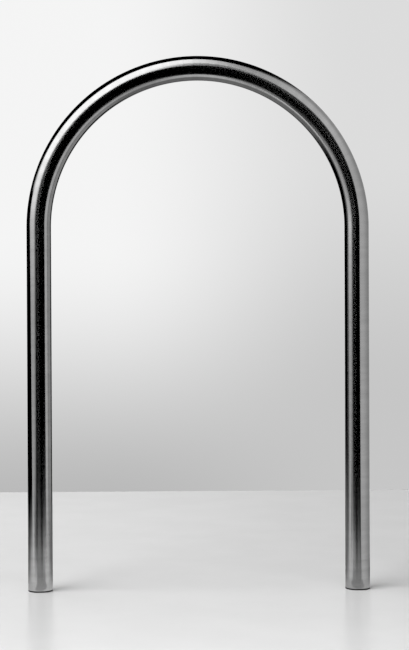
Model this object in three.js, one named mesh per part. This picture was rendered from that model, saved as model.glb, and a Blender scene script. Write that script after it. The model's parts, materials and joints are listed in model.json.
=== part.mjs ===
// Hoop bike rack: one round steel tube bent to an inverted U, with a plastic plug in each cut end.
// Sizes are in millimetres and +Z is up. The origin is on the ground, midway between the two legs,
// and the hoop stands in the XZ plane.

import * as THREE from 'three';

// Driving dimensions of the hoop
const HOOP_HEIGHT = 1050;
const LEG_SPACING = 625;
const TUBE_DIAMETER = 48.3;
const TUBE_WALL = 2.6;

// Driving dimensions of an end plug
const FLANGE_THICKNESS = 2.5;
const INSERT_LENGTH = 22;
const INSERT_WALL = 2;
const INSERT_FLOOR = 3;
const FIN_HEIGHT = 1.5;
const FIN_ROOT_THICKNESS = 1.6;
const FIN_TIP_THICKNESS = 0.7;
const FIN_CLEARANCE = 0.3;

// Shares of the wall, or of the space between two fins, that small features take
const FLANGE_ROUNDING_SHARE = 0.4;
const LEAD_IN_SHARE = 0.6;
const FIRST_FIN_SHARE = 0.5;

// Counts
const FIN_COUNT = 4;
const TUBE_SIDE_COUNT = 32;
const ARCH_STEP_COUNT = 40;
const LEG_STEP_COUNT = 4;
const EDGE_STEP_COUNT = 3;

// Sizes that follow from the driving dimensions
const TUBE_RADIUS = TUBE_DIAMETER / 2;
const BORE_RADIUS = TUBE_RADIUS - TUBE_WALL;
const BEND_RADIUS = LEG_SPACING / 2;
const SPRING_HEIGHT = HOOP_HEIGHT - TUBE_RADIUS - BEND_RADIUS;
const CUT_END_HEIGHT = FLANGE_THICKNESS;

const satinSteel = new THREE.MeshStandardMaterial({ color: 0xb4b5b6, metalness: 1, roughness: 0.28 });
const blackPlastic = new THREE.MeshStandardMaterial({ color: 0x121212, metalness: 0, roughness: 0.55 });

// Centreline of the tube: up the left leg, over the half circle and down the right leg. Its parameter
// counts the rings of the sweep rather than the length, so that the straight legs take few of them.
class HoopCentreline extends THREE.Curve {
  static steps = ARCH_STEP_COUNT + 2 * LEG_STEP_COUNT;

  getUtoTmapping(share) {
    return share;
  }

  // Share of each stretch that lies behind a point of the curve.
  stretches(share) {
    const step = share * HoopCentreline.steps;
    const { clamp } = THREE.MathUtils;
    return {
      rising: clamp(step / LEG_STEP_COUNT, 0, 1),
      arch: clamp((step - LEG_STEP_COUNT) / ARCH_STEP_COUNT, 0, 1),
      falling: clamp((step - LEG_STEP_COUNT - ARCH_STEP_COUNT) / LEG_STEP_COUNT, 0, 1),
    };
  }

  getPoint(share, target = new THREE.Vector3()) {
    const { lerp } = THREE.MathUtils;
    const { rising, arch, falling } = this.stretches(share);
    if (rising < 1) {
      return target.set(-BEND_RADIUS, 0, lerp(CUT_END_HEIGHT, SPRING_HEIGHT, rising));
    }
    if (falling > 0) {
      return target.set(BEND_RADIUS, 0, lerp(SPRING_HEIGHT, CUT_END_HEIGHT, falling));
    }
    const turn = arch * Math.PI;
    return target.set(-BEND_RADIUS * Math.cos(turn), 0, SPRING_HEIGHT + BEND_RADIUS * Math.sin(turn));
  }

  getTangent(share, target = new THREE.Vector3()) {
    const { rising, arch, falling } = this.stretches(share);
    if (rising < 1) {
      return target.set(0, 0, 1);
    }
    if (falling > 0) {
      return target.set(0, 0, -1);
    }
    const turn = arch * Math.PI;
    return target.set(Math.sin(turn), 0, Math.cos(turn));
  }
}

// The bent tube, open at both cut ends.
function hoopTube() {
  const wall = new THREE.Shape().absarc(0, 0, TUBE_RADIUS, 0, 2 * Math.PI);
  wall.holes.push(new THREE.Path().absarc(0, 0, BORE_RADIUS, 0, 2 * Math.PI));
  const geometry = new THREE.ExtrudeGeometry(wall, {
    curveSegments: TUBE_SIDE_COUNT / 2,
    steps: HoopCentreline.steps,
    extrudePath: new HoopCentreline(),
  });
  return new THREE.Mesh(geometry, satinSteel);
}

// Outline of one grip fin, from its square lower side to its sloping upper side.
function finOutline(insertRadius, height) {
  return [
    new THREE.Vector2(insertRadius, height),
    new THREE.Vector2(insertRadius + FIN_HEIGHT, height),
    new THREE.Vector2(insertRadius + FIN_HEIGHT, height + FIN_TIP_THICKNESS),
    new THREE.Vector2(insertRadius, height + FIN_ROOT_THICKNESS),
  ];
}

// Half outline of a plug, from the middle of its underside, round the flange, up the fins and over the
// rim to the floor of the cup. Its flange is flush with the tube, and its fins stop short of the bore.
function plugOutline() {
  const flangeRadius = TUBE_RADIUS;
  const insertRadius = BORE_RADIUS - FIN_CLEARANCE - FIN_HEIGHT;
  const cupRadius = insertRadius - INSERT_WALL;
  const insertTop = FLANGE_THICKNESS + INSERT_LENGTH;
  const finPitch = INSERT_LENGTH / (FIN_COUNT + 1);
  const leadIn = INSERT_WALL * LEAD_IN_SHARE;
  const rounding = FLANGE_THICKNESS * FLANGE_ROUNDING_SHARE;
  const edge = new THREE.Path().absarc(flangeRadius - rounding, rounding, rounding, -Math.PI / 2, 0);

  const outline = [new THREE.Vector2(0, 0)];
  outline.push(...edge.getSpacedPoints(EDGE_STEP_COUNT));
  outline.push(new THREE.Vector2(flangeRadius, FLANGE_THICKNESS));
  outline.push(new THREE.Vector2(insertRadius, FLANGE_THICKNESS));
  for (let fin = 0; fin < FIN_COUNT; fin += 1) {
    outline.push(...finOutline(insertRadius, FLANGE_THICKNESS + finPitch * (fin + FIRST_FIN_SHARE)));
  }
  outline.push(new THREE.Vector2(insertRadius, insertTop - leadIn));
  outline.push(new THREE.Vector2(insertRadius - leadIn, insertTop));
  outline.push(new THREE.Vector2(cupRadius, insertTop));
  outline.push(new THREE.Vector2(cupRadius, INSERT_FLOOR));
  outline.push(new THREE.Vector2(0, INSERT_FLOOR));
  return outline;
}

// A plug, its flange on the ground and its cup opening upwards.
function endPlug() {
  const geometry = new THREE.LatheGeometry(plugOutline(), TUBE_SIDE_COUNT);
  geometry.rotateX(Math.PI / 2);
  return new THREE.Mesh(geometry, blackPlastic);
}

// Assembly
const rack = new THREE.Group();

const tube = hoopTube();
tube.name = 'hoop_tube';
rack.add(tube);

for (const [side, direction] of [['left', -1], ['right', 1]]) {
  const foot = new THREE.Group();
  foot.position.x = direction * BEND_RADIUS;
  const plug = endPlug();
  plug.name = `${side}_end_plug`;
  foot.add(plug);
  rack.add(foot);
}

export default rack;
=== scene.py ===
"""Hoop bike rack: a satin steel tube bent to an inverted U, with a moulded plug in each cut end.

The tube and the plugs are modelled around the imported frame, each gets its finish, and they stand in a
plain pale studio. Lengths are in metres, +Z is up, and a name that ends in degrees holds an angle.
"""

import json
import logging
import math
from collections.abc import Callable, Sequence
from dataclasses import dataclass, field
from enum import Enum
from typing import ClassVar

import bmesh
import bpy
from mathutils import Matrix, Vector

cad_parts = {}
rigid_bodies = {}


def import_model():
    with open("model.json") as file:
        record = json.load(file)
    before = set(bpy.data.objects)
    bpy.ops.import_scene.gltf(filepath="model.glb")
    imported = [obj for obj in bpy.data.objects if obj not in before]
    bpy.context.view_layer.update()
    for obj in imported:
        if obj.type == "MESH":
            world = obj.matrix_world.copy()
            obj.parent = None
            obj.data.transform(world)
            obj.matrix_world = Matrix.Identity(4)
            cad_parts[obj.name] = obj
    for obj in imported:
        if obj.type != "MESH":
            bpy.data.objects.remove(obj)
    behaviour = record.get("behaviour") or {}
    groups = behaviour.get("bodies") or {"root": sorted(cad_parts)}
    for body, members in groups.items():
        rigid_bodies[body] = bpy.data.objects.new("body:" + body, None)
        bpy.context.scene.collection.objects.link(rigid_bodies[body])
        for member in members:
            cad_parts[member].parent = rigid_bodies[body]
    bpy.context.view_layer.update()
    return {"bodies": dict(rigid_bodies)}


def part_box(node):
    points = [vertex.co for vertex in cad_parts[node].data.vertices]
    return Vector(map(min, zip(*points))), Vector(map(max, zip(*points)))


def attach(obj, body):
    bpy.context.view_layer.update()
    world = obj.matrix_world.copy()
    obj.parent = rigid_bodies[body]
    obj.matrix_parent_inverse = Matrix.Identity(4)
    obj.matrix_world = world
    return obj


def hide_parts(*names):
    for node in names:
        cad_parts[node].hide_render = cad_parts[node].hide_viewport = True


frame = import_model()

MILLIMETRE = 0.001
TUBE_WALL = 2.6 * MILLIMETRE
SAME_PLACE = 0.01 * MILLIMETRE
FULL_TURN = 2 * math.pi
NOISE_MIDDLE = 0.5
NOISE_SPAN = (0.3, 0.7)

log = logging.getLogger("hoop_rack")

Point = tuple[float, float, float]
Pair = tuple[float, float]


class Side(Enum):
    """The two feet of the hoop, with the sign of their place along X."""

    LEFT = -1
    RIGHT = 1

    @property
    def label(self) -> str:
        """The side's name as it stands in a piece's name."""
        return self.name.lower()


class Element(Enum):
    """The kinds of mesh element that edit mode can select."""

    VERTEX = "VERT"
    EDGE = "EDGE"
    FACE = "FACE"


class Axis(Enum):
    """The three axes, with the names that a vector's parts have."""

    ACROSS = "X"
    AHEAD = "Y"
    RISE = "Z"


class SeenBy(Enum):
    """Which rays meet a piece of the studio."""

    REFLECTIONS = "reflections"
    ALL_BUT_REFLECTIONS = "all but reflections"


# Working on meshes


def deselect_everything() -> None:
    """Leaves object mode with nothing selected and nothing active."""
    for item in bpy.context.selected_objects:
        item.select_set(False)
    bpy.context.view_layer.objects.active = None


def make_active(piece: bpy.types.Object) -> None:
    """Selects one object alone and makes it the active one.

    Args:
        piece: The object.
    """
    deselect_everything()
    piece.select_set(True)
    bpy.context.view_layer.objects.active = piece


def apply_place(piece: bpy.types.Object) -> None:
    """Moves an object's place, turn and scale into its mesh."""
    make_active(piece)
    bpy.ops.object.transform_apply(location=True, rotation=True, scale=True)


def take_new_primitive(name: str) -> bpy.types.Object:
    """Names the primitive that was added last, and puts its place into its mesh.

    Args:
        name: The name that the object and its mesh get.

    Returns:
        The new object.
    """
    piece = bpy.context.object
    piece.name = name
    piece.data.name = name
    apply_place(piece)
    return piece


class EditSession:
    """Edit mode on one mesh, where elements are picked by their place or direction."""

    def __init__(self, piece: bpy.types.Object) -> None:
        """Keeps the object whose mesh is edited."""
        self.piece = piece

    def __enter__(self) -> "EditSession":
        """Goes into edit mode on the object alone.

        Returns:
            The session, for its picking.
        """
        make_active(self.piece)
        bpy.ops.object.mode_set(mode="EDIT")
        return self

    def __exit__(self, *_: object) -> None:
        """Goes back to object mode."""
        bpy.ops.object.mode_set(mode="OBJECT")

    def pick(self, kind: Element, wanted: Callable[..., bool]) -> None:
        """Selects the elements that are wanted, and nothing else.

        Args:
            kind: Which elements to look through.
            wanted: Says of one mesh element whether it is selected.
        """
        bpy.ops.mesh.select_mode(type=kind.value)
        bpy.ops.mesh.select_all(action="DESELECT")
        shape = bmesh.from_edit_mesh(self.piece.data)
        elements = {Element.VERTEX: shape.verts, Element.EDGE: shape.edges, Element.FACE: shape.faces}
        for element in elements[kind]:
            if wanted(element):
                element.select_set(True)
        bmesh.update_edit_mesh(self.piece.data)


def smooth_by_angle(piece: bpy.types.Object, limit_degrees: float = 30.0) -> None:
    """Shades an object smooth, apart from its edges that turn more than a limit."""
    make_active(piece)
    bpy.ops.object.shade_smooth_by_angle(angle=math.radians(limit_degrees))


# Node trees


class NodeBench:
    """A node tree with short calls for adding, setting and joining its nodes."""

    def __init__(self, tree: bpy.types.NodeTree) -> None:
        """Starts with an empty tree."""
        self.tree = tree
        tree.nodes.clear()

    def add(self, kind: str, inputs: dict[str | int, object] | None = None,
            **settings: object) -> bpy.types.Node:
        """Adds a node.

        Args:
            kind: The node's type name.
            inputs: A value or another node's output for each input, by its name or number.
            settings: Properties of the node itself.

        Returns:
            The new node.
        """
        node = self.tree.nodes.new(kind)
        for name, value in settings.items():
            setattr(node, name, value)
        for key, value in (inputs or {}).items():
            if isinstance(value, bpy.types.NodeSocket):
                self.tree.links.new(value, node.inputs[key])
            else:
                node.inputs[key].default_value = value
        return node

    def own_place(self) -> bpy.types.NodeSocket:
        """The object's own coordinates."""
        return self.add("ShaderNodeTexCoord").outputs["Object"]

    def grey(self, tone: object) -> bpy.types.NodeSocket:
        """A grey of some tone, as a colour."""
        return self.add("ShaderNodeCombineColor", {"Red": tone, "Green": tone, "Blue": tone}).outputs["Color"]

    def show(self, surface: bpy.types.NodeSocket) -> None:
        """Makes a shader the surface of the material."""
        self.add("ShaderNodeOutputMaterial", {"Surface": surface})

    def maths(self, operation: str, first: object, second: object = 0.0) -> bpy.types.NodeSocket:
        """One sum of two values, and its result."""
        return self.add("ShaderNodeMath", {0: first, 1: second}, operation=operation).outputs[0]

    def blend(self, share: object, first: object, second: object) -> bpy.types.NodeSocket:
        """A mix of two values, all second where the share is 1."""
        return self.add("ShaderNodeMix", {"Factor": share, "A": first, "B": second}).outputs["Result"]

    def ease(self, value: bpy.types.NodeSocket, start: float, end: float,
             low: float = 0.0, high: float = 1.0) -> bpy.types.NodeSocket:
        """A smooth step from one value to another.

        Args:
            value: What the step follows.
            start: Where it leaves low.
            end: Where it reaches high.
            low: The result before the start.
            high: The result past the end.

        Returns:
            The result socket.
        """
        step = self.add(
            "ShaderNodeMapRange",
            {"Value": value, "From Min": start, "From Max": end, "To Min": low, "To Max": high},
            interpolation_type="SMOOTHSTEP",
        )
        return step.outputs["Result"]

    def around_zero(self, pattern: bpy.types.NodeSocket, span: float) -> bpy.types.NodeSocket:
        """A noise pattern shifted to lie about zero, and scaled."""
        return self.maths("MULTIPLY", self.maths("SUBTRACT", pattern, NOISE_MIDDLE), span)

    def noise(self, place: bpy.types.NodeSocket, stretch: Point, detail: float) -> bpy.types.NodeSocket:
        """A noise pattern with its own scale along each axis.

        Args:
            place: The coordinates that the pattern follows.
            stretch: Cells to the metre along each axis.
            detail: How many finer layers it has.

        Returns:
            The pattern's value, about 0 to 1.
        """
        scaled = self.add("ShaderNodeMapping", {"Vector": place, "Scale": stretch}, vector_type="POINT")
        inputs = {"Vector": scaled.outputs["Vector"], "Scale": 1.0, "Detail": detail}
        return self.add("ShaderNodeTexNoise", inputs).outputs["Fac"]


def new_material(name: str) -> tuple[bpy.types.Material, NodeBench]:
    """An empty material with its node tree.

    Args:
        name: The material's name.

    Returns:
        The material, and the bench for its nodes.
    """
    material = bpy.data.materials.new(name)
    material.use_nodes = True
    return material, NodeBench(material.node_tree)


# Finishes


@dataclass(frozen=True)
class SatinSteel:
    """Stainless tube polished with a fine belt that ran round it, so its grain goes round the tube."""

    name: str = "satin_steel"
    tone: float = 0.60
    tone_variation: float = 0.035
    grain_tone: float = 0.10
    roughness: float = 0.165
    grain_roughness: float = 0.05
    smudge_roughness: float = 0.03
    anisotropy: float = 0.95
    grain_height: float = 0.012 * MILLIMETRE
    grain_strength: float = 0.8
    grain_per_metre: Point = (1300.0, 22.0, 22.0)
    band_per_metre: Point = (70.0, 9.0, 9.0)
    smudge_per_metre: Point = (12.0, 20.0, 20.0)

    def material(self) -> bpy.types.Material:
        """Builds the finish for a tube that carries straightened coordinates.

        Returns:
            The material. It reads the point attribute and the UV map that HoopTube writes.
        """
        material, bench = new_material(self.name)
        place = bench.add("ShaderNodeAttribute", attribute_name=HoopTube.STRAIGHTENED).outputs["Vector"]
        grain = bench.noise(place, self.grain_per_metre, detail=3.0)
        bands = bench.noise(place, self.band_per_metre, detail=4.0)
        smudges = bench.noise(place, self.smudge_per_metre, detail=2.0)

        low, high = self.tone - self.tone_variation, self.tone + self.tone_variation
        banded = bench.ease(bands, *NOISE_SPAN, low, high)
        tone = bench.maths("ADD", banded, bench.around_zero(grain, self.grain_tone))
        rough_grain = bench.around_zero(grain, self.grain_roughness)
        rough_smudge = bench.around_zero(smudges, self.smudge_roughness)
        roughness = bench.maths("ADD", bench.maths("ADD", rough_grain, rough_smudge), self.roughness)
        relief = bench.add(
            "ShaderNodeBump",
            {"Height": grain, "Strength": self.grain_strength, "Distance": self.grain_height},
        )
        tangent = bench.add("ShaderNodeTangent", direction_type="UV_MAP", uv_map=HoopTube.UV_MAP)
        metal = bench.add(
            "ShaderNodeBsdfPrincipled",
            {
                "Base Color": bench.grey(tone),
                "Metallic": 1.0,
                "Roughness": roughness,
                "Anisotropic": self.anisotropy,
                "Tangent": tangent.outputs["Tangent"],
                "Normal": relief.outputs["Normal"],
            },
        )
        bench.show(metal.outputs["BSDF"])
        return material


@dataclass(frozen=True)
class MouldedPlastic:
    """Matte black moulded plastic with a fine eroded texture from its mould."""

    name: str = "moulded_black_plastic"
    tone: float = 0.012
    tone_variation: float = 0.004
    roughness: float = 0.52
    roughness_variation: float = 0.08
    specular: float = 0.35
    texture_per_metre: float = 2600.0
    texture_height: float = 0.02 * MILLIMETRE
    texture_strength: float = 0.5
    scuff_per_metre: float = 90.0

    def material(self) -> bpy.types.Material:
        """Builds the finish in the object's own coordinates.

        Returns:
            The material.
        """
        material, bench = new_material(self.name)
        place = bench.own_place()
        texture = bench.noise(place, (self.texture_per_metre,) * 3, detail=2.0)
        scuffs = bench.noise(place, (self.scuff_per_metre,) * 3, detail=5.0)
        tone = bench.ease(scuffs, *NOISE_SPAN, self.tone, self.tone + self.tone_variation)
        spread = self.roughness_variation / 2
        roughness = bench.ease(scuffs, *NOISE_SPAN, self.roughness + spread, self.roughness - spread)
        relief = bench.add(
            "ShaderNodeBump",
            {"Height": texture, "Strength": self.texture_strength, "Distance": self.texture_height},
        )
        plastic = bench.add(
            "ShaderNodeBsdfPrincipled",
            {
                "Base Color": bench.grey(tone),
                "Roughness": roughness,
                "Specular IOR Level": self.specular,
                "Normal": relief.outputs["Normal"],
            },
        )
        bench.show(plastic.outputs["BSDF"])
        return material


@dataclass(frozen=True)
class PaleSheet:
    """The studio floor: pale smooth sheet with a soft gloss."""

    name: str = "pale_sheet"
    tone: float = 0.80
    tone_variation: float = 0.012
    roughness: float = 0.26
    specular: float = 0.09
    mottle_per_metre: float = 6.0

    def material(self) -> bpy.types.Material:
        """Builds the finish in the object's own coordinates.

        Returns:
            The material.
        """
        material, bench = new_material(self.name)
        place = bench.own_place()
        mottle = bench.noise(place, (self.mottle_per_metre,) * 3, detail=3.0)
        low, high = self.tone - self.tone_variation, self.tone + self.tone_variation
        tone = bench.ease(mottle, *NOISE_SPAN, low, high)
        sheet = bench.add(
            "ShaderNodeBsdfPrincipled",
            {
                "Base Color": bench.grey(tone),
                "Roughness": self.roughness,
                "Specular IOR Level": self.specular,
            },
        )
        bench.show(sheet.outputs["BSDF"])
        return material


@dataclass(frozen=True)
class Fade:
    """A smooth change of a card's brightness along one axis, from a share of it to another."""

    axis: Axis
    start: float
    end: float
    low: float
    high: float


@dataclass(frozen=True)
class Glow:
    """The light that a card of the studio shows in a reflection."""

    name: str
    strength: float
    fades: tuple[Fade, ...]

    def material(self) -> bpy.types.Material:
        """Builds the glow in the object's own coordinates.

        Returns:
            The material.
        """
        material, bench = new_material(self.name)
        place = bench.own_place()
        axes = bench.add("ShaderNodeSeparateXYZ", {"Vector": place})
        strength = self.strength
        for fade in self.fades:
            along = axes.outputs[fade.axis.value]
            share = bench.ease(along, fade.start, fade.end, fade.low, fade.high)
            strength = bench.maths("MULTIPLY", strength, share)
        light = bench.add("ShaderNodeEmission", {"Strength": strength})
        bench.show(light.outputs["Emission"])
        return material


@dataclass(frozen=True)
class Shade:
    """The darkness of a card that blocks light in reflections, a painted dark reflection, and that clears
    towards its lower end.
    """

    name: str
    clear_height: float
    dense_height: float

    def material(self) -> bpy.types.Material:
        """Builds the shade in the object's own coordinates.

        Returns:
            The material.
        """
        material, bench = new_material(self.name)
        place = bench.own_place()
        rise = bench.add("ShaderNodeSeparateXYZ", {"Vector": place}).outputs[Axis.RISE.value]
        density = bench.ease(rise, self.clear_height, self.dense_height)
        clear = bench.add("ShaderNodeBsdfTransparent").outputs["BSDF"]
        dark = bench.add("ShaderNodeEmission", {"Strength": 0.0}).outputs["Emission"]
        shade = bench.add("ShaderNodeMixShader", {0: density, 1: clear, 2: dark})
        bench.show(shade.outputs["Shader"])
        return material


# The hoop


@dataclass(frozen=True)
class Stance:
    """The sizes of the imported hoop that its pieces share."""

    height: float
    tube_radius: float
    leg_spacing: float
    cut_height: float

    @classmethod
    def from_frame(cls) -> "Stance":
        """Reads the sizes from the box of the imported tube.

        Returns:
            The hoop's sizes.
        """
        low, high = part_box("hoop_tube")
        diameter = high.y - low.y
        return cls(
            height=high.z,
            tube_radius=diameter / 2,
            leg_spacing=high.x - low.x - diameter,
            cut_height=low.z,
        )

    @property
    def bend_radius(self) -> float:
        """Radius of the bend, at the tube's centreline."""
        return self.leg_spacing / 2

    @property
    def spring_height(self) -> float:
        """Height at which the straight legs end and the bend starts."""
        return self.height - self.tube_radius - self.bend_radius

    @property
    def leg_length(self) -> float:
        """Length of one straight leg, from its cut end to the bend."""
        return self.spring_height - self.cut_height

    @property
    def centreline_length(self) -> float:
        """Length of the whole tube along its centreline."""
        return 2 * self.leg_length + math.pi * self.bend_radius


@dataclass
class HoopTube:
    """The bent tube: two straight legs and a half circle, bored through, with deburred square ends."""

    stance: Stance
    finish: SatinSteel = field(default_factory=SatinSteel)
    wall: float = TUBE_WALL
    deburr: float = 0.6 * MILLIMETRE
    deburr_step_count: int = 2
    side_count: int = 96
    bend_step_count: int = 160
    leg_step_count: int = 36

    STRAIGHTENED = "straightened"
    UV_MAP = "along_and_around"
    NODE = "hoop_tube"

    def build(self) -> bpy.types.Object:
        """Models the tube and gives it its finish.

        Returns:
            The finished tube.
        """
        tube = self._sweep_skin()
        self._thicken(tube)
        self._deburr_ends(tube)
        smooth_by_angle(tube)
        self._write_coordinates(tube)
        tube.data.materials.append(self.finish.material())
        return tube

    def _sweep_skin(self) -> bpy.types.Object:
        """Draws a circle up one leg, round the bend and down the other leg.

        Returns:
            The outer skin of the tube, open at both ends.
        """
        stance = self.stance
        deselect_everything()
        bpy.ops.mesh.primitive_circle_add(
            vertices=self.side_count,
            radius=stance.tube_radius,
            location=(-stance.bend_radius, 0, stance.cut_height),
        )
        skin = take_new_primitive("satin_tube")
        with EditSession(skin):
            bpy.ops.mesh.select_all(action="SELECT")
            self._extrude_leg(upwards=True)
            bpy.ops.mesh.spin(
                steps=self.bend_step_count,
                angle=math.pi,
                center=(0, 0, stance.spring_height),
                axis=(0, -1, 0),
            )
            self._extrude_leg(upwards=False)
            bpy.ops.mesh.select_all(action="SELECT")
            bpy.ops.mesh.normals_make_consistent(inside=False)
        return skin

    def _extrude_leg(self, upwards: bool) -> None:
        """Extrudes the selected ring along a leg in even steps.

        Args:
            upwards: Whether the ring goes up from the cut end or down from the bend.
        """
        step = self.stance.leg_length / self.leg_step_count
        rise = step if upwards else -step
        for _ in range(self.leg_step_count):
            bpy.ops.mesh.extrude_region_move(TRANSFORM_OT_translate={"value": (0, 0, rise)})

    def _thicken(self, tube: bpy.types.Object) -> None:
        """Gives the skin its wall, inwards.

        Args:
            tube: The tube's outer skin.
        """
        make_active(tube)
        wall = tube.modifiers.new("wall", "SOLIDIFY")
        wall.thickness = self.wall
        wall.offset = -1
        wall.use_even_offset = True
        bpy.ops.object.modifier_apply(modifier=wall.name)

    def _deburr_ends(self, tube: bpy.types.Object) -> None:
        """Takes the sharp outer and inner edges off both cut ends.

        Args:
            tube: The tube with its wall.
        """
        stance = self.stance

        def on_cut_edge(edge: bmesh.types.BMEdge) -> bool:
            """Tells the edges that run round the outside or the bore of a cut end.

            Args:
                edge: Any edge of the tube.

            Returns:
                Whether it is one of them.
            """
            if any(abs(end.co.z - stance.cut_height) > SAME_PLACE for end in edge.verts):
                return False
            reach = [math.hypot(abs(end.co.x) - stance.bend_radius, end.co.y) for end in edge.verts]
            return abs(reach[0] - reach[1]) < SAME_PLACE

        with EditSession(tube) as edit:
            edit.pick(Element.EDGE, on_cut_edge)
            bpy.ops.mesh.bevel(offset=self.deburr, segments=self.deburr_step_count, affect="EDGES")

    def _straighten(self, point: Vector) -> Vector:
        """Where a point of the tube would lie if the tube were straight.

        Args:
            point: A point on the bent tube.

        Returns:
            Its length along the tube from the left cut end, its distance outwards from the centreline, and
            its depth.
        """
        stance = self.stance
        if point.z > stance.spring_height:
            rise = point.z - stance.spring_height
            along = stance.leg_length + stance.bend_radius * math.atan2(rise, -point.x)
            outwards = math.hypot(point.x, rise) - stance.bend_radius
        else:
            climbed = point.z - stance.cut_height
            along = climbed if point.x < 0 else stance.centreline_length - climbed
            outwards = abs(point.x) - stance.bend_radius
        return Vector((along, outwards, point.y))

    def _write_coordinates(self, tube: bpy.types.Object) -> None:
        """Stores the straightened place of each point, and a UV map that runs along and around the tube.

        Args:
            tube: The finished shape of the tube.
        """
        mesh = tube.data
        straight = [self._straighten(vertex.co) for vertex in mesh.vertices]
        places = mesh.attributes.new(self.STRAIGHTENED, "FLOAT_VECTOR", "POINT")
        for entry, place in zip(places.data, straight):
            entry.vector = place
        while mesh.uv_layers:
            mesh.uv_layers.remove(mesh.uv_layers[0])
        layer = mesh.uv_layers.new(name=self.UV_MAP)
        girth = FULL_TURN * self.stance.tube_radius
        turns = [math.atan2(place.z, place.y) / FULL_TURN for place in straight]
        for face in mesh.polygons:
            first = turns[face.vertices[0]]
            for corner, vertex in zip(face.loop_indices, face.vertices):
                turn = turns[vertex] - round(turns[vertex] - first)
                layer.data[corner].uv = (straight[vertex].x, turn * girth)


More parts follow.
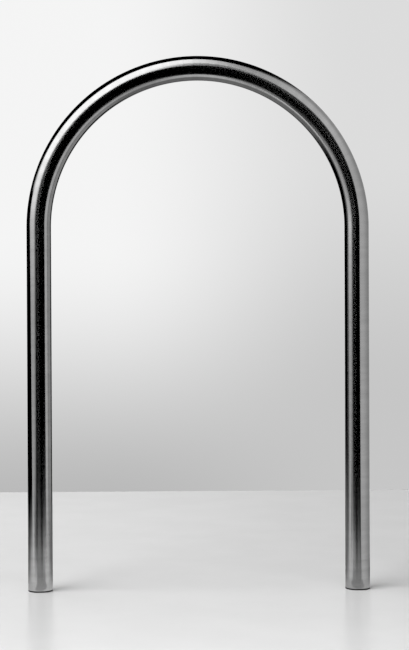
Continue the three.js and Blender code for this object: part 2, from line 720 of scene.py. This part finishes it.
@dataclass
class EndPlug:
    """A push-in plug: a flange flush with the tube, and a finned cup that grips its bore."""

    stance: Stance
    finish: MouldedPlastic = field(default_factory=MouldedPlastic)
    tube_wall: float = TUBE_WALL
    insert_length: float = 22.0 * MILLIMETRE
    insert_wall: float = 2.0 * MILLIMETRE
    insert_floor: float = 3.0 * MILLIMETRE
    fin_height: float = 1.5 * MILLIMETRE
    fin_root: float = 1.6 * MILLIMETRE
    fin_tip: float = 0.7 * MILLIMETRE
    fin_clearance: float = 0.3 * MILLIMETRE
    lead_in: float = 1.2 * MILLIMETRE
    flange_rounding: float = 1.0 * MILLIMETRE
    fin_rounding: float = 0.15 * MILLIMETRE
    gate_radius: float = 3.0 * MILLIMETRE
    gate_depth: float = 0.5 * MILLIMETRE
    gate_draft: float = 0.3 * MILLIMETRE
    sprue_radius: float = 0.9 * MILLIMETRE
    groove_radius: float = 16.0 * MILLIMETRE
    groove_width: float = 1.2 * MILLIMETRE
    groove_depth: float = 0.3 * MILLIMETRE
    fin_count: int = 4
    side_count: int = 96
    flange_step_count: int = 4
    fin_step_count: int = 2

    UPRIGHT = 0.9

    @property
    def insert_radius(self) -> float:
        """Radius of the insert between its fins."""
        return self.stance.tube_radius - self.tube_wall - self.fin_clearance - self.fin_height

    def build(self) -> dict[Side, bpy.types.Object]:
        """Models one plug, gives it its finish, and puts a copy of it into each foot.

        Returns:
            The finished plug of each foot.
        """
        first = self._mould()
        smooth_by_angle(first)
        first.data.materials.append(self.finish.material())
        plugs = {Side.LEFT: first, Side.RIGHT: self._copy(first)}
        return {side: self._place(plug, side) for side, plug in plugs.items()}

    def _copy(self, plug: bpy.types.Object) -> bpy.types.Object:
        """Copies a plug.

        Args:
            plug: The first plug.

        Returns:
            The copy, with a mesh of its own.
        """
        make_active(plug)
        bpy.ops.object.duplicate(linked=False)
        return bpy.context.object

    def _place(self, plug: bpy.types.Object, side: Side) -> bpy.types.Object:
        """Moves a plug into its foot and names it after it.

        Args:
            plug: The plug, still at the origin.
            side: The foot that it closes.

        Returns:
            The same plug.
        """
        plug.location.x = side.value * self.stance.bend_radius
        apply_place(plug)
        plug.name = f"{side.label}_plug"
        plug.data.name = plug.name
        return plug

    def _mould(self) -> bpy.types.Object:
        """Models a plug at the origin, its flange on the ground and its cup opening upwards.

        Returns:
            The plug's object.
        """
        flange = self.stance.cut_height
        deselect_everything()
        bpy.ops.mesh.primitive_cylinder_add(
            vertices=self.side_count,
            radius=self.stance.tube_radius,
            depth=flange,
            location=(0, 0, flange / 2),
        )
        plug = take_new_primitive("plug")
        with EditSession(plug) as edit:
            edit.pick(Element.FACE, lambda face: face.normal.z > self.UPRIGHT)
            self._draw(self.stance.tube_radius, flange, self._insert_outline())
            edit.pick(Element.FACE, lambda face: face.normal.z < -self.UPRIGHT)
            self._draw(self.stance.tube_radius, 0.0, self._underside_outline())
            edit.pick(Element.EDGE, self._is_flange_edge)
            bpy.ops.mesh.bevel(offset=self.flange_rounding, segments=self.flange_step_count, affect="EDGES")
            edit.pick(Element.EDGE, self._is_fin_edge)
            bpy.ops.mesh.bevel(offset=self.fin_rounding, segments=self.fin_step_count, affect="EDGES")
        return plug

    def _draw(self, radius: float, height: float, outline: Sequence[Pair]) -> None:
        """Extrudes the selected end face from ring to ring.

        Args:
            radius: The face's radius at the start.
            height: Its height at the start.
            outline: Radius and height of each ring that it is drawn to.
        """
        for next_radius, next_height in outline:
            bpy.ops.mesh.extrude_region_move(TRANSFORM_OT_translate={"value": (0, 0, next_height - height)})
            share = next_radius / radius
            bpy.ops.transform.resize(value=(share, share, 1))
            radius, height = next_radius, next_height

    def _insert_outline(self) -> list[Pair]:
        """The rings from the flange up the fins, over the rim and down to the floor of the cup.

        Returns:
            Radius and height of each ring.
        """
        flange = self.stance.cut_height
        root, tip = self.insert_radius, self.insert_radius + self.fin_height
        pitch = self.insert_length / (self.fin_count + 1)
        top = flange + self.insert_length
        cup = root - self.insert_wall
        outline = [(root, flange)]
        for fin in range(self.fin_count):
            base = flange + pitch / 2 + pitch * fin
            outline += [(root, base), (tip, base), (tip, base + self.fin_tip), (root, base + self.fin_root)]
        outline += [(root, top - self.lead_in), (root - self.lead_in, top)]
        outline += [(cup, top), (cup, self.insert_floor)]
        return outline

    def _underside_outline(self) -> list[Pair]:
        """The rings of the flange's underside: a shallow groove, and the dimple where the mould was filled.

        Returns:
            Radius and height of each ring.
        """
        outer, inner = self.groove_radius, self.groove_radius - self.groove_width
        slope = self.groove_depth
        gate = self.gate_radius
        return [
            (outer, 0.0),
            (outer - slope, self.groove_depth),
            (inner + slope, self.groove_depth),
            (inner, 0.0),
            (gate, 0.0),
            (gate - self.gate_draft, self.gate_depth),
            (self.sprue_radius, self.gate_depth),
            (self.sprue_radius - self.gate_draft, self.gate_depth - self.gate_draft),
        ]

    def _is_flange_edge(self, edge: bmesh.types.BMEdge) -> bool:
        """Whether an edge is part of the flange's lower outer rim."""
        rim = self.stance.tube_radius - SAME_PLACE
        return all(abs(end.co.z) < SAME_PLACE and end.co.xy.length > rim for end in edge.verts)

    def _is_fin_edge(self, edge: bmesh.types.BMEdge) -> bool:
        """Tells the edges that run round the tip of a fin.

        Args:
            edge: Any edge of the plug.

        Returns:
            Whether it is one of them.
        """
        tip = self.insert_radius + self.fin_height
        level = abs(edge.verts[0].co.z - edge.verts[1].co.z) < SAME_PLACE
        above_flange = edge.verts[0].co.z > self.stance.cut_height + SAME_PLACE
        on_tip = all(abs(end.co.xy.length - tip) < SAME_PLACE for end in edge.verts)
        return level and above_flange and on_tip


# The studio


@dataclass(frozen=True)
class Viewpoint:
    """The camera, in front of the hoop at the photograph's angle."""

    position: Point = (-0.0475, -3.000, 0.5429)
    turn_degrees: float = 1.139
    dip_degrees: float = 0.415
    lean_degrees: float = -0.247
    lens_millimetres: float = 84.42
    sensor_millimetres: float = 36.0

    def build(self) -> None:
        """Adds the camera and makes it the scene's own."""
        turn, dip, lean = (
            math.radians(angle) for angle in (self.turn_degrees, self.dip_degrees, self.lean_degrees)
        )
        ahead = Vector((math.sin(turn) * math.cos(dip), math.cos(turn) * math.cos(dip), -math.sin(dip)))
        level = Vector((math.cos(turn), -math.sin(turn), 0))
        upright = level.cross(ahead)
        right = math.cos(lean) * level + math.sin(lean) * upright
        above = math.cos(lean) * upright - math.sin(lean) * level
        stand = Matrix((right, above, -ahead)).transposed().to_4x4()
        stand.translation = self.position
        deselect_everything()
        bpy.ops.object.camera_add()
        camera = bpy.context.object
        camera.name = "viewpoint"
        camera.matrix_world = stand
        camera.data.lens = self.lens_millimetres
        camera.data.sensor_width = self.sensor_millimetres
        bpy.context.scene.camera = camera


def limit_rays(item: bpy.types.Object, seen_by: SeenBy) -> None:
    """Keeps a piece of the studio out of the rays that aren't meant to meet it.

    Args:
        item: The piece.
        seen_by: Which rays meet it.
    """
    only_mirrored = seen_by is SeenBy.REFLECTIONS
    item.visible_glossy = only_mirrored
    item.visible_camera = not only_mirrored
    item.visible_diffuse = not only_mirrored
    item.visible_shadow = not only_mirrored
    item.visible_transmission = not only_mirrored


PanelFinish = Glow | Shade | PaleSheet


@dataclass(frozen=True)
class Panel:
    """A flat piece of the studio, such as a card that the tube mirrors."""

    name: str
    corners: tuple[Point, ...]
    finish: PanelFinish
    seen_by: SeenBy

    @classmethod
    def level(cls, name: str, height: float, outline: Sequence[Pair],
              finish: PanelFinish, seen_by: SeenBy) -> "Panel":
        """A panel that lies level, with the X and Y of each corner."""
        return cls(name, tuple((across, ahead, height) for across, ahead in outline), finish, seen_by)

    @classmethod
    def upright(cls, name: str, across: float, outline: Sequence[Pair],
                finish: PanelFinish, seen_by: SeenBy) -> "Panel":
        """A panel that stands beside the hoop, with the Y and Z of each corner."""
        return cls(name, tuple((across, ahead, rise) for ahead, rise in outline), finish, seen_by)

    def build(self) -> None:
        """Adds a filled circle with as many corners, and pulls each of them to its place."""
        deselect_everything()
        bpy.ops.mesh.primitive_circle_add(vertices=len(self.corners), radius=1, fill_type="NGON")
        panel = take_new_primitive(self.name)
        with EditSession(panel) as edit:
            for number, corner in enumerate(self.corners):
                edit.pick(Element.VERTEX, lambda vertex, wanted=number: vertex.index == wanted)
                bpy.ops.transform.translate(value=Vector(corner) - panel.data.vertices[number].co)
        panel.data.materials.append(self.finish.material())
        limit_rays(panel, self.seen_by)


@dataclass(frozen=True)
class Lamp:
    """A soft light on the floor and the plugs, which the tube doesn't mirror."""

    name: str
    position: Point
    target: Point

    KIND: ClassVar[str]

    def build(self) -> None:
        """Adds the lamp, aims it and keeps it out of reflections."""
        deselect_everything()
        bpy.ops.object.light_add(type=self.KIND, location=self.position)
        lamp = bpy.context.object
        lamp.name = self.name
        aim = Vector(self.target) - Vector(self.position)
        lamp.rotation_euler = aim.to_track_quat("-Z", "Y").to_euler()
        lamp.visible_glossy = False
        lamp.visible_camera = False
        self._set(lamp.data)

    def _set(self, light: bpy.types.Light) -> None:
        """Gives the light its size and strength, which each kind of lamp does in its own way."""
        raise NotImplementedError


@dataclass(frozen=True)
class Softbox(Lamp):
    """A flat lamp that stands near the hoop."""

    width: float
    length: float
    power: float

    KIND = "AREA"

    def _set(self, light: bpy.types.Light) -> None:
        """Makes the light a rectangle of its size and power.

        Args:
            light: The lamp's light.
        """
        light.shape = "RECTANGLE"
        light.size = self.width
        light.size_y = self.length
        light.energy = self.power


@dataclass(frozen=True)
class FarLight(Lamp):
    """A lamp so far off that the whole floor gets the same light."""

    spread_degrees: float
    strength: float

    KIND = "SUN"

    def _set(self, light: bpy.types.Light) -> None:
        """Gives the light the angle that it fills and its strength."""
        light.angle = math.radians(self.spread_degrees)
        light.energy = self.strength


@dataclass(frozen=True)
class PaleWall:
    """The wall past the floor, with painted light: it is brightest at the upper left and darker lower down.

    A pair of directions is where a change starts and where it ends.
    """

    left_low: float = 0.48
    left_high: float = 0.91
    right_low: float = 0.57
    right_high: float = 0.72
    left_rise: Pair = (-0.135, 0.050)
    right_rise: Pair = (-0.06, 0.11)
    sideways: Pair = (-0.05, 0.125)

    def level(self, bench: NodeBench, across: bpy.types.NodeSocket,
              rise: bpy.types.NodeSocket) -> bpy.types.NodeSocket:
        """Works out the brightness in a direction.

        Args:
            bench: The world's nodes.
            across: The direction's part along X.
            rise: The direction's part along Z.

        Returns:
            The brightness.
        """
        left = bench.ease(rise, *self.left_rise, self.left_low, self.left_high)
        right = bench.ease(rise, *self.right_rise, self.right_low, self.right_high)
        return bench.blend(bench.ease(across, *self.sideways), left, right)


@dataclass(frozen=True)
class MirroredRoom:
    """What surfaces mirror past the cards: the pale wall straight behind and beside the hoop, else darkness.

    A pair of directions is where a change starts and where it ends.
    """

    dark: float = 0.004
    behind: Pair = (0.92, 0.96)
    beside: Pair = (0.95, 0.98)
    top: Pair = (0.62, 0.55)

    def wall_share(self, bench: NodeBench, across: bpy.types.NodeSocket, ahead: bpy.types.NodeSocket,
                   rise: bpy.types.NodeSocket) -> bpy.types.NodeSocket:
        """Works out how much of the wall shows in a direction.

        Args:
            bench: The world's nodes.
            across: The direction's part along X.
            ahead: The direction's part along Y.
            rise: The direction's part along Z.

        Returns:
            The share, 1 where the wall shows in full.
        """
        behind = bench.ease(ahead, *self.behind)
        beside = bench.ease(bench.maths("ABSOLUTE", across), *self.beside)
        return bench.maths("MULTIPLY", bench.maths("MAXIMUM", behind, beside), bench.ease(rise, *self.top))


def build_world(wall: PaleWall, mirrored: MirroredRoom) -> None:
    """Shows the pale wall to the camera, and only parts of it in reflections.

    Args:
        wall: The wall that the camera sees all round.
        mirrored: The room that shows in the surfaces.
    """
    world = bpy.data.worlds.new("studio")
    world.use_nodes = True
    bpy.context.scene.world = world
    bench = NodeBench(world.node_tree)
    direction = bench.add("ShaderNodeTexCoord").outputs["Generated"]
    axes = bench.add("ShaderNodeSeparateXYZ", {"Vector": direction})
    across, ahead, rise = (axes.outputs[axis.value] for axis in Axis)
    pale = wall.level(bench, across, rise)
    in_room = bench.blend(mirrored.wall_share(bench, across, ahead, rise), mirrored.dark, pale)
    to_camera = bench.add("ShaderNodeLightPath").outputs["Is Camera Ray"]
    level = bench.blend(to_camera, in_room, pale)
    sky = bench.add("ShaderNodeBackground", {"Color": (1, 1, 1, 1), "Strength": level})
    bench.add("ShaderNodeOutputWorld", {"Surface": sky.outputs["Background"]})


@dataclass(frozen=True)
class Studio:
    """The floor, the cards that the tube mirrors, the lamps and the room.

    The cards on the left and overhead are white, and those on the right and on the floor are grey. There is
    none towards the camera, so the middle of the tube mirrors darkness. The black level is the brightness
    that shows as black, as in a contrasty print.
    """

    stance: Stance
    floor_back: float = 1.67
    floor_reach: float = 9.0
    floor_gap: float = 0.1 * MILLIMETRE
    foot: float = -1.0 * MILLIMETRE
    strip_level: float = -0.5 * MILLIMETRE
    left_plane: float = -1.10
    flag_plane: float = -0.37
    right_plane: float = 0.53
    ceiling: float = 2.20
    left_fold: float = 1.22
    left_front: float = -1.65
    left_back: float = 0.35
    white: float = 1.60
    black_level: float = 0.008

    def build(self) -> None:
        """Builds the whole studio."""
        below = (self._floor(), self._floor_card(), *self._foot_strips())
        sides = (*self._left_cards(), self._flag(), self._right_card())
        for panel in (*below, self._top_card(), *sides):
            panel.build()
        for lamp in self._lamps():
            lamp.build()
        build_world(PaleWall(), MirroredRoom())
        self._set_view()

    def _set_view(self) -> None:
        """Shows the scene's brightness as it is, apart from the black level."""
        view = bpy.context.scene.view_settings
        view.view_transform = "Standard"
        view.use_curve_mapping = True
        view.curve_mapping.black_level = (self.black_level,) * 3
        view.curve_mapping.update()

    def _floor(self) -> Panel:
        """The floor that the hoop stands on.

        Returns:
            The floor. Its far edge is where it meets the wall.
        """
        reach, back = self.floor_reach, self.floor_back
        outline = ((-reach, -reach), (reach, -reach), (reach, back), (-reach, back))
        return Panel.level("floor", -self.floor_gap, outline, PaleSheet(), SeenBy.ALL_BUT_REFLECTIONS)

    def _floor_card(self) -> Panel:
        """The lit part of the floor, as the tube mirrors it: a glowing card that paints the floor's
        reflection.

        Returns:
            The card that shows it.
        """
        outline = (
            (self.left_plane, -0.52),
            (-0.64, -0.32),
            (-0.26, -0.30),
            (0.02, -0.50),
            (0.30, -0.30),
            (self.right_plane, -0.33),
            (self.right_plane, self.floor_back),
            (self.left_plane, self.floor_back),
        )
        glow = Glow(
            "floor_glow",
            strength=0.71,
            # Painted shade in the painted reflection: the mirrored floor darkens towards the back and towards
            # the right.
            fades=(
                Fade(Axis.AHEAD, start=-0.10, end=0.20, low=1.0, high=0.30),
                Fade(Axis.ACROSS, start=-0.10, end=0.60, low=1.0, high=0.70),
            ),
        )
        return Panel.level("floor_card", self.foot, outline, glow, SeenBy.REFLECTIONS)

    def _foot_strips(self) -> list[Panel]:
        """Painted shade: the dimmer floor in front of each foot, as the tube mirrors it, shown by dim glowing
        strips.

        Returns:
            A strip for each foot, which widens and fades towards the front.
        """
        left_fade = Fade(Axis.AHEAD, start=-0.92, end=-0.46, low=0.0, high=1.0)
        left_outline = (
            (-0.02, -0.03),
            (-0.08, -0.20),
            (-0.22, -0.60),
            (-0.22, -0.92),
            (0.00, -0.92),
            (0.13, -0.40),
            (0.20, -0.20),
            (0.05, -0.03),
        )
        right_fade = Fade(Axis.AHEAD, start=-0.84, end=-0.42, low=0.0, high=1.0)
        right_outline = (
            (-0.06, -0.03),
            (-0.22, -0.20),
            (-0.06, -0.40),
            (-0.01, -0.84),
            (0.19, -0.84),
            (0.12, -0.20),
            (0.03, -0.03),
        )
        # Painted shade around the feet, seen only in reflections.
        left_glow = Glow("left_foot_glow", strength=0.38, fades=(left_fade,))
        right_glow = Glow("right_foot_glow", strength=0.32, fades=(right_fade,))
        return [
            self._foot_strip(Side.LEFT, left_outline, left_glow),
            self._foot_strip(Side.RIGHT, right_outline, right_glow),
        ]

    def _foot_strip(self, side: Side, outline: Sequence[Pair], glow: Glow) -> Panel:
        """Places one of the strips.

        Args:
            side: The foot that it belongs to.
            outline: The X and Y of each corner, from the middle of the foot.
            glow: Its brightness.

        Returns:
            The strip.
        """
        middle = side.value * self.stance.bend_radius
        placed = [(middle + across, ahead) for across, ahead in outline]
        return Panel.level(f"{side.label}_foot_strip", self.strip_level, placed, glow, SeenBy.REFLECTIONS)

    def _left_cards(self) -> list[Panel]:
        """The two cards on the left, one above the other.

        Returns:
            The grey lower card, which fades towards its ends, and the white upper one.
        """
        brighter_up = Fade(Axis.RISE, start=0.50, end=1.38, low=0.28, high=1.0)
        darker_front = Fade(Axis.AHEAD, start=self.left_front, end=-0.60, low=0.0, high=1.0)
        darker_back = Fade(Axis.AHEAD, start=-0.25, end=self.left_back, low=1.0, high=0.0)
        low_outline = (
            (self.left_front, self.foot),
            (self.left_back, self.foot),
            (self.left_back, self.left_fold),
            (self.left_front, self.left_fold),
        )
        high_outline = (
            (-1.05, self.left_fold),
            (0.05, self.left_fold),
            (-0.20, self.ceiling),
            (-3.00, self.ceiling),
        )
        low_glow = Glow("left_low_glow", self.white, (brighter_up, darker_front, darker_back))
        high_glow = Glow("left_high_glow", self.white, (brighter_up,))
        return [
            Panel.upright("left_low_card", self.left_plane, low_outline, low_glow, SeenBy.REFLECTIONS),
            Panel.upright("left_high_card", self.left_plane, high_outline, high_glow, SeenBy.REFLECTIONS),
        ]

    def _flag(self) -> Panel:
        """The narrow dark card beside the left leg, which only reflections meet: a painted dark reflection.

        Returns:
            The card. It gives the leg a dark outer line that fades downwards.
        """
        outline = ((-0.034, 0.0), (0.012, 0.0), (0.012, 0.80), (-0.018, 0.80), (-0.032, 0.30))
        shade = Shade("flag_shade", clear_height=0.0, dense_height=0.22)
        return Panel.upright("left_flag", self.flag_plane, outline, shade, SeenBy.REFLECTIONS)

    def _top_card(self) -> Panel:
        """The card overhead.

        Returns:
            The card, white on the left and grey on the right, with a notch in its front edge.
        """
        outline = (
            (self.left_plane, -3.20),
            (-0.40, -3.55),
            (-0.05, -1.20),
            (0.30, -1.75),
            (self.right_plane, -2.55),
            (self.right_plane, -0.42),
            (0.02, -0.12),
            (self.left_plane, -0.24),
        )
        greyer_right = Fade(Axis.ACROSS, start=-0.20, end=0.40, low=1.0, high=0.24)
        glow = Glow("top_glow", self.white, (greyer_right,))
        return Panel.level("top_card", self.ceiling, outline, glow, SeenBy.REFLECTIONS)

    def _right_card(self) -> Panel:
        """The card on the right, whose front edge leans forward higher up.

        Returns:
            The card, grey and darker towards its top and its back.
        """
        outline = (
            (-0.475, self.foot),
            (0.75, self.foot),
            (0.75, 1.33),
            (0.03, 1.63),
            (-0.40, self.ceiling),
            (-3.30, self.ceiling),
            (-0.93, 1.39),
            (-0.54, 1.16),
        )
        glow = Glow(
            "right_glow",
            strength=0.64,
            fades=(
                Fade(Axis.RISE, start=0.80, end=1.20, low=0.84, high=1.0),
                Fade(Axis.RISE, start=1.50, end=2.20, low=1.0, high=0.60),
                Fade(Axis.AHEAD, start=-0.20, end=0.15, low=1.0, high=0.60),
            ),
        )
        return Panel.upright("right_card", self.right_plane, outline, glow, SeenBy.REFLECTIONS)

    def _lamps(self) -> list[Lamp]:
        """The lamps that light the floor and the plugs.

        Returns:
            Two far ones that light all of it, and two near ones.
        """
        middle = (0, 0, 0)
        sky = FarLight("sky_light", (0, 0, 5), middle, spread_degrees=170, strength=0.42)
        key = FarLight("key_light", (-3.3, -2.1, 2.8), middle, spread_degrees=60, strength=2.75)
        front = Softbox("front_box", (-0.3, -1.3, 1.2), (-0.3, -1.3, 0), width=2.8, length=0.8, power=15)
        left = Softbox("left_box", (-1.6, 1.0, 1.4), (-1.4, 1.0, 0), width=1.0, length=2.0, power=9)
        return [sky, key, front, left]


# Assembly


def join_frame(piece: bpy.types.Object, node: str) -> None:
    """Lets a finished piece stand for a CAD node and move with its body.

    Args:
        piece: The finished piece.
        node: The CAD node that it replaces.
    """
    body = next(iter(frame["bodies"]))
    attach(piece, body)
    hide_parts(node)
    log.info("%s stands for %s, with %d faces", piece.name, node, len(piece.data.polygons))


def main() -> None:
    """Builds the camera, the rack and the studio in order, and reports each piece."""
    logging.basicConfig(level=logging.INFO, format="%(name)s: %(message)s")
    Viewpoint().build()
    stance = Stance.from_frame()
    join_frame(HoopTube(stance).build(), HoopTube.NODE)
    for side, plug in EndPlug(stance).build().items():
        join_frame(plug, f"{side.label}_end_plug")
    Studio(stance).build()


if __name__ == "__main__":
    main()
